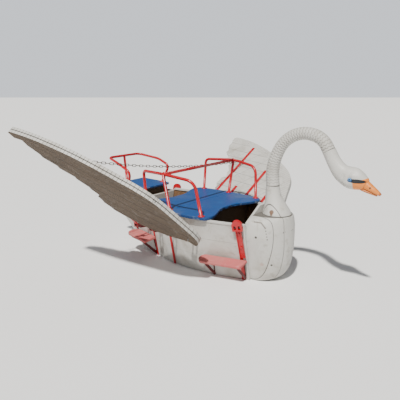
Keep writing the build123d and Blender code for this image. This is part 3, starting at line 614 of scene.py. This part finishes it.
class GONDOLA_OT_seats(Maker):
    """Blue bench and stern seat with rubbed edges"""
    bl_idname = "gondola.seats"
    bl_label = "Seat boards"

    def make(self, sizes, shades):
        top = finish_named("Blue boards", lambda n: painted_wood(
            n, shades.blue[:], (0.30, 0.34, 0.36), stretch=(9, 1.0, 9), chips=0.655, dirt=0.16, rub=0.34,
            roughness=0.42, tint=(0.03, 0.16, 0.40)))
        edge = finish_named("Blue board edge", lambda n: painted_wood(
            n, tuple(c * 0.7 for c in shades.blue), (0.50, 0.50, 0.46), stretch=(9, 1.0, 9), chips=0.60,
            dirt=0.4, rub=0.75, tint=(0.30, 0.38, 0.44)))
        for node in ("bench_board_front", "bench_board_rear", "stern_seat"):
            worked(node, [top, edge], 0.007, lambda f: 1 if abs(f.normal.z) < 0.6 else 0,
                   segments=3)
        nails = bmesh.new()
        top_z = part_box("bench_board_front")[1].z
        for x in (-0.214, -0.03, 0.03, 0.244):
            for step in range(-4, 5):
                add_knob(nails, (x, step * 0.082, top_z - 0.0004), (0, 0, 1), 0.008, 0.0012, dome=True)
        place_mesh("bench_nails", nails, [top])


def whole(f):
    return f.place


class GONDOLA_OT_breast(Maker):
    """Carved breast blocks and the foot of the neck"""
    bl_idname = "gondola.breast"
    bl_label = "Breast and neck foot"

    def make(self, sizes, shades):
        brown = (0.16, 0.085, 0.045)
        # dark is near-black painted shade, used for the bolt holes and the gash; brown is bare wood in chips.
        dark = (0.035, 0.028, 0.022)
        marks = [((0.723, -0.233, 0.39), 0.011, dark, 0.95), ((0.816, -0.143, 0.163), 0.010, dark, 0.9),
                 ((0.77, -0.100, 0.566), 0.020, brown, 0.95), ((0.772, -0.103, 0.548), 0.013, brown, 0.9),
                 ((0.760, -0.2, 0.160), 0.030, (0.42, 0.24, 0.20), 0.55),
                 ((0.723, 0.233, 0.39), 0.011, dark, 0.95)]
        # A row of near-black spots along the gash: painted shade in the cut.
        for share in range(7):
            spot = (0.872 + share * 0.0025, -0.085 + share * 0.019, 0.422 + 0.003 * math.sin(share))
            marks.append((spot, 0.0062, dark, 0.8))
        crack = ((0.695, -0.215, 0.502), (0.745, -0.201, 0.501), (0.780, -0.198, 0.466),
                 (0.800, -0.188, 0.356))
        for a, b in zip(crack[:-1], crack[1:]):
            for share in range(5):
                spot = Vector(a).lerp(Vector(b), share / 5)
                marks.append((spot[:], 0.0075, (0.10, 0.08, 0.06), 0.75))
        carved = white("White breast", stretch=(7, 7, 1.0), chips=0.645, dirt=0.62, rub=0.52, extras=marks,
                       seams=((whole, "Y", 0.08, 0.0022), (whole, "Y", -0.08, 0.0022),
                              (whole, "Y", 0.16, 0.0018), (whole, "Y", -0.16, 0.0018),
                              (whole, "Z", 0.5352, 0.0030), (whole, "Z", 0.7502, 0.0026)))
        for node in ("breast_core", "breast_cheek_left", "breast_cheek_right", "breast_flank_left",
                     "breast_flank_right", "neck_base"):
            worked(node, [carved], 0.0022, flat=0.4, smooth=46)


class GONDOLA_OT_neck(Maker):
    """Arched neck with its rows of carved rings"""
    bl_idname = "gondola.neck"
    bl_label = "Neck"

    def make(self, sizes, shades):
        # The ring grooves are darkened with painted shade by their cut depth.
        feathered = white("White neck", stretch=(5, 5, 3), chips=0.66, dirt=0.35, rub=0.30, groove=0.62)
        count = int(NECK.length / sizes.neck_ring)
        rings = []
        for i in range(count):
            for part, cut in ((0.0, 1.0), (0.16, 0.45), (0.5, 0.0), (0.84, 0.10)):
                s = min((i + part) / count, 1)
                wide, high = NECK.halves(s)
                deep = sizes.ring_depth * cut * min(1, 0.35 + s * 2.0)
                rings.append((s, wide - deep, high - deep, cut))
        wide, high = NECK.halves(1.0)
        rings.append((1.0, wide - 0.002, high - 0.002, 1.0))
        bm = sleeve(NECK, rings, 48, 0.009)
        piece = place_mesh("neck_carved", bm, [feathered], smooth=70)
        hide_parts("neck")


class GONDOLA_OT_head(Maker):
    """Head with brow, cheeks, eyes and beak"""
    bl_idname = "gondola.head"
    bl_label = "Head"

    def make(self, sizes, shades):
        f = Finish("White head", 0.45)
        tree = f.tree
        grain = f.use(grain_group(), stretched(tree, f.place, (1.6, 8, 8)))
        wear = f.use(wear_group(), f.place, Chips=0.68)
        shade = mix(tree, math_node(tree, "MULTIPLY", grain.outputs["Grain"], 0.16), shades.white[:],
                    (0.66, 0.65, 0.61))
        shade = mix(tree, math_node(tree, "MULTIPLY", wear.outputs["Dirt"], 0.3), shade, shades.grime[:])
        shade = mix(tree, wear.outputs["Chip"], shade, shades.bare[:])
        flat = stretched(tree, f.place, (1, 0.0, 4.2), (0, math.radians(-6), 0))
        lore = tree.nodes.new("ShaderNodeVectorMath")
        lore.operation = "DISTANCE"
        tree.links.new(flat, lore.inputs[0])
        middle = Matrix.Rotation(math.radians(-6), 3, "Y") @ Vector((1.363, 0, 0.8765 * 4.2))
        lore.inputs[1].default_value = (middle.x, 0, middle.z)
        black = remap(tree, lore.outputs["Value"], 0.062, 0.054)
        spots = f.axes()
        front = remap(tree, spots["X"], 1.336, 1.345)
        ahead = math_node(tree, "SUBTRACT", spots["X"], 1.34)
        sill = math_node(tree, "ADD", math_node(tree, "MULTIPLY", ahead, 0.42), 0.866)
        below = remap(tree, math_node(tree, "SUBTRACT", sill, spots["Z"]), 0.0, 0.003)
        shade = mix(tree, math_node(tree, "MULTIPLY", front, below), shade, shades.orange[:])
        shade = mix(tree, black, shade, (0.006, 0.007, 0.010))
        for side in (-1, 1):
            ring = f.spot((1.320, side * 0.064, 0.881), 0.020)
            shade = mix(tree, math_node(tree, "MULTIPLY", ring, 0.9), shade, (0.05, 0.12, 0.30))
        skin = f.done(shade, None, ((grain.outputs["Height"], 0.0008),))
        skin.node_tree.nodes["Principled BSDF"].inputs["Coat Weight"].default_value = 0.12
        rings = []
        for i in range(61):
            s = i / 60
            wide, high = HEAD.halves(s)
            rings.append((s, wide, high, 0.0))
        bm = sleeve(HEAD, rings, sides=48)
        moves = []
        for side in (-1, 1):
            moves += [((1.322, side * 0.062, 0.884), 0.026, (0, -side * 0.009, 0)),
                      ((1.338, side * 0.052, 0.906), 0.030, (0, side * 0.005, 0.004)),
                      ((1.290, side * 0.060, 0.850), 0.034, (0, side * 0.006, -0.002)),
                      ((1.272, side * 0.056, 0.900), 0.022, (0, -side * 0.006, 0)),
                      ((1.370, side * 0.052, 0.872), 0.022, (0, -side * 0.004, 0))]
        moves += [((1.345, 0, 0.952), 0.045, (0.002, 0, 0.005))]
        sculpt(bm, moves)
        piece = place_mesh("head_carved", bm, [skin], smooth=70)
        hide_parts("head")
        beak = finish_named("Beak paint", lambda n: painted_wood(
            n, shades.orange[:], (0.35, 0.16, 0.06), stretch=(1.2, 8, 8), chips=0.69, dirt=0.12, rub=0.4,
            roughness=0.35, tint=(0.85, 0.42, 0.14),
            extras=[((1.522, 0.0, 0.795), 0.030, (0.30, 0.08, 0.03), 0.8)]))
        worked("beak_upper", [beak], 0, flat=0, smooth=60)
        # The lower beak takes a darker copy of the beak's orange: painted shade on its underside, with some
        # dirt.
        under = finish_named("Beak underside", lambda n: painted_wood(
            n, (0.50, 0.16, 0.04), (0.25, 0.10, 0.04), stretch=(1.2, 8, 8), chips=0.69, dirt=0.2))
        worked("beak_lower", [under], 0, flat=0, smooth=60)
        nostrils = bmesh.new()
        for side in (-1, 1):
            add_knob(nostrils, (1.4475, side * 0.0262, 0.8405), (0.1, side, 0.45), 0.013, 0.0022, dome=True)
        place_mesh("nostrils", nostrils, [finish_named("Nostril", lambda n: painted_wood(
            n, (0.05, 0.02, 0.01), (0.03, 0.02, 0.01)))])
        ball = Finish("Eye paint", 0.12)
        pupil = (0.10, 0.30, 0.62)
        for side in (-1, 1):
            middle = ball.spot((1.3215, side * 0.0645, 0.8845), 0.0062, 0.15)
            pupil = mix(ball.tree, middle, pupil, (0.004, 0.004, 0.006))
        glassy = ball.done(pupil, noise(ball.tree, ball.place, 60.0), ())
        eyes = bmesh.new()
        for side in (-1, 1):
            bmesh.ops.create_uvsphere(eyes, u_segments=24, v_segments=14, radius=0.0105,
                                      matrix=Matrix.Translation((1.319, side * 0.0535, 0.8835)))
        balls = place_mesh("eye_balls", eyes, [glassy], smooth=80)
        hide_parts("eyes")


class GONDOLA_OT_steps(Maker):
    """Footsteps in sun-bleached red"""
    bl_idname = "gondola.steps"
    bl_label = "Footsteps"

    def make(self, sizes, shades):
        faded = finish_named("Faded red boards", lambda n: painted_wood(
            n, shades.pink[:], (0.36, 0.27, 0.22), stretch=(0.8, 12, 12), chips=0.60, dirt=0.30, rub=0.55,
            roughness=0.8, tint=(0.58, 0.27, 0.25)))
        for node in ("step_front_left", "step_front_right", "step_rear_left", "step_rear_right"):
            worked(node, [faded], 0.004, segments=3)
        worked("step_brackets", [dark_red()], 0.0008)


# ---- ironwork -------------------------------------------------------------------------
class GONDOLA_OT_irons(Maker):
    """Bands, hangers and their bolts"""
    bl_idname = "gondola.irons"
    bl_label = "Bands and hangers"

    def make(self, sizes, shades):
        for node in ("band_front", "band_mid", "band_aft", "band_rear"):
            paint = dark_red() if node == "band_rear" else red()
            worked(node, [paint], sizes.iron_edge, flat=0.5)
        for node in ("hanger_front_left", "hanger_front_right", "hanger_rear_left", "hanger_rear_right"):
            worked(node, [red()], sizes.iron_edge * 1.6)
        worked("hanger_bolts", [red()], sizes.iron_edge)


class GONDOLA_OT_rails(Maker):
    """Tube rails with welds and flange screws"""
    bl_idname = "gondola.rails"
    bl_label = "Tube rails"

    def make(self, sizes, shades):
        for node in ("arm_rail_left", "arm_rail_right", "backrest_bar", "stern_rail"):
            worked(node, [red()], 0, flat=0, smooth=50)
        screws = bmesh.new()
        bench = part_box("bench_board_front")[1].z + FLANGE_RISE
        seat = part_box("stern_seat")[1].z + FLANGE_RISE
        feet = [(x, side * y, bench) for side in (-1, 1) for x, y in RAIL_FEET]
        feet += [(x, y, seat) for x, y in STERN_FEET]
        for x, y, z in feet:
            for k in range(3):
                a = math.radians(30 + 120 * k)
                spot = (x + 0.0195 * math.cos(a), y + 0.0195 * math.sin(a), z - 0.0006)
                add_knob(screws, spot, (0, 0, 1), 0.007, 0.0022, dome=True)
        place_mesh("flange_screws", screws, [red()])
        welds = bmesh.new()
        for side in (-1, 1):
            bmesh.ops.create_uvsphere(welds, u_segments=20, v_segments=10, radius=0.0175,
                                      matrix=Matrix.Translation((0, side * 0.4655, 0.8165))
                                      @ Matrix.Diagonal((1, 0.42, 1, 1)))
        place_mesh("crossbar_welds", welds, [red()], smooth=80)


# ---- wings ------------------------------------------------------------------------------
class GONDOLA_OT_wings(Maker):
    """Wings: carved edge bands, feathered boards, strap hinges and brackets"""
    bl_idname = "gondola.wings"
    bl_label = "Wings"

    def make(self, sizes, shades):
        for side in ("left", "right"):
            tilt = SIGN[side] * RAISE[side]
            across = math.atan2(0.715, 1.080) * SIGN[side]

            def plan(f, turn=0.0, tilt=tilt):
                laid = stretched(f.tree, f.place, (1, 1, 1), (-tilt, 0, 0))
                return stretched(f.tree, laid, (1, 1, 1), (0, 0, turn))

            # Feather and edge-band cuts are drawn as dark lines: painted shade in the carved grooves.
            feather = white("White feathers " + side, stretch=(3, 3, 9), chips=0.655, dirt=0.55,
                            rub=0.45, cuts=(
                (lambda f: plan(f, math.radians(90) + across * 0.25), 0.118, 0.0030, 0.85),
                (lambda f: plan(f, across), 0.165, 0.0028, 0.75)))
            joint = (Matrix.Rotation(-tilt, 3, "X") @ wing_spot(side, 0, 0.5, -0.0242)).z
            band = white("White band " + side, stretch=(3, 3, 9), chips=0.65, dirt=0.55, rub=0.50, cuts=(
                (lambda f: plan(f, across), 0.030, 0.0022, 0.75),), seams=((plan, "Z", joint, 0.0045),))
            under = finish_named("Bare wing " + side, lambda n: bare_timber(
                n, (0.090, 0.062, 0.040), stretch=(2.2, 7, 7), turn=(-tilt, 0, 0), white=0.10,
                joints=(lambda f: plan(f, math.radians(90) + across), 0.125, 0.0050)))
            up = wing_up(side)
            for node, mats in ((f"wing_{side}_leading_edge_upper", [band, band]),
                               (f"wing_{side}_leading_edge_lower", [band, under]),
                               (f"wing_{side}_boards", [feather, under])):
                worked(node, mats, 0.0055 if "leading" in node else 0.0025,
                       lambda f, up=up: 1 if f.normal.dot(up) < -0.5 else 0, segments=3, smooth=50)
            worked(f"wing_{side}_straps", [red()], 0.0008)
            worked(f"wing_{side}_brackets", [dark_red()], 0.0008)
            worked(f"wing_{side}_hinge_pins", [dark_red()], 0, smooth=50)
            bolts = bmesh.new()
            for x, reach in STRAPS:
                n = max(3, int(reach / 0.13))
                for k in range(n):
                    out = 0.075 + (reach - 0.075 - 0.03) * k / (n - 1)
                    add_knob(bolts, wing_spot(side, x, out, 0.006), up, sizes.bolt_head, 0.006)
            place_mesh(f"strap_bolts_{side}", bolts, [red()], f"{side}_wing")


class GONDOLA_OT_chain(Maker):
    """Chain between the wings"""
    bl_idname = "gondola.chain"
    bl_label = "Chain"

    def make(self, sizes, shades):
        steel = finish_named("Tarnished chain", lambda n: chain_steel(n, shades.steel[:]))
        for node in ("chain_left_half", "chain_right_half"):
            worked(node, [steel], 0, flat=0, smooth=60)


# ---- stage ----------------------------------------------------------------------------
class GONDOLA_OT_stage(Maker):
    """Pale floor, lights and camera"""
    bl_idname = "gondola.stage"
    bl_label = "Stage"

    def make(self, sizes, shades):
        low = CAD_BOX[0]
        bm = bmesh.new()
        bmesh.ops.create_grid(bm, x_segments=1, y_segments=1, size=120.0,
                              matrix=Matrix.Translation((0, 0, low[2] - 0.0005)))
        mesh = bpy.data.meshes.new("floor")
        bm.to_mesh(mesh)
        bm.free()
        floor = bpy.data.objects.new("floor", mesh)
        bpy.context.scene.collection.objects.link(floor)
        pale = Finish("Pale floor", 0.9)
        shade = mix(pale.tree, noise(pale.tree, pale.place, 2.0), (0.88, 0.88, 0.875), (0.89, 0.89, 0.885))
        mesh.materials.append(pale.done(shade))
        world = bpy.data.worlds.new("Studio")
        world.use_nodes = True
        sky = world.node_tree
        sky.nodes["Background"].inputs["Color"].default_value = (0.90, 0.94, 1.0, 1)
        rays = sky.nodes.new("ShaderNodeLightPath")
        seen = remap(sky, rays.outputs["Is Camera Ray"], 0, 1, 0.26, 1.0)
        sky.links.new(seen, sky.nodes["Background"].inputs["Strength"])
        bpy.context.scene.world = world
        sun = bpy.data.lights.new("Key", "SUN")
        sun.energy = 5.6
        sun.angle = math.radians(2.5)
        sun.color = (1.0, 0.97, 0.92)
        key = bpy.data.objects.new("Key", sun)
        key.rotation_euler = SUN_FROM.to_track_quat("Z", "Y").to_euler()
        bpy.context.scene.collection.objects.link(key)
        soft = bpy.data.lights.new("Fill", "AREA")
        soft.energy = 22
        soft.size = 4.0
        fill = bpy.data.objects.new("Fill", soft)
        fill.location = (3.5, -4.5, 3.2)
        fill.rotation_euler = (Vector(fill.location) - Vector((0, 0, 0.5))).to_track_quat("Z", "Y").to_euler()
        bpy.context.scene.collection.objects.link(fill)
        lens = bpy.data.cameras.new("Camera")
        lens.sensor_width = 36.0
        lens.lens = LENS_MM
        lens.clip_end = 100
        camera = bpy.data.objects.new("Camera", lens)
        camera.location = CAMERA_PLACE
        camera.rotation_euler = (CAMERA_PLACE - CAMERA_AIM).to_track_quat("Z", "Y").to_euler()
        bpy.context.scene.collection.objects.link(camera)
        bpy.context.scene.camera = camera


MAKERS = (GONDOLA_OT_hull, GONDOLA_OT_seats, GONDOLA_OT_breast, GONDOLA_OT_neck, GONDOLA_OT_head,
          GONDOLA_OT_steps, GONDOLA_OT_irons, GONDOLA_OT_rails, GONDOLA_OT_wings, GONDOLA_OT_chain,
          GONDOLA_OT_stage)


class GONDOLA_PT_panel(bpy.types.Panel):
    """Sizes, colours and makers of the gondola"""
    bl_idname = "GONDOLA_PT_panel"
    bl_label = "Swan Gondola"
    bl_space_type = "VIEW_3D"
    bl_region_type = "UI"
    bl_category = "Gondola"

    def draw(self, context):
        for group in (context.scene.gondola_sizes, context.scene.gondola_colours):
            for name in group.bl_rna.properties.keys():
                if name not in ("rna_type", "name"):
                    self.layout.prop(group, name)
        for maker in MAKERS:
            self.layout.operator(maker.bl_idname)


CLASSES = (GondolaSizes, GondolaColours, *MAKERS, GONDOLA_PT_panel)


def register():
    for cls in CLASSES:
        bpy.utils.register_class(cls)
    bpy.types.Scene.gondola_sizes = bpy.props.PointerProperty(type=GondolaSizes)
    bpy.types.Scene.gondola_colours = bpy.props.PointerProperty(type=GondolaColours)


def unregister():
    del bpy.types.Scene.gondola_colours
    del bpy.types.Scene.gondola_sizes
    for cls in reversed(CLASSES):
        bpy.utils.unregister_class(cls)


def main():
    register()
    for maker in MAKERS:
        if getattr(bpy.ops.gondola, maker.bl_idname.split(".")[1])() != {"FINISHED"}:
            raise RuntimeError(maker.bl_label + " did not finish")


if __name__ == "__main__":
    main()
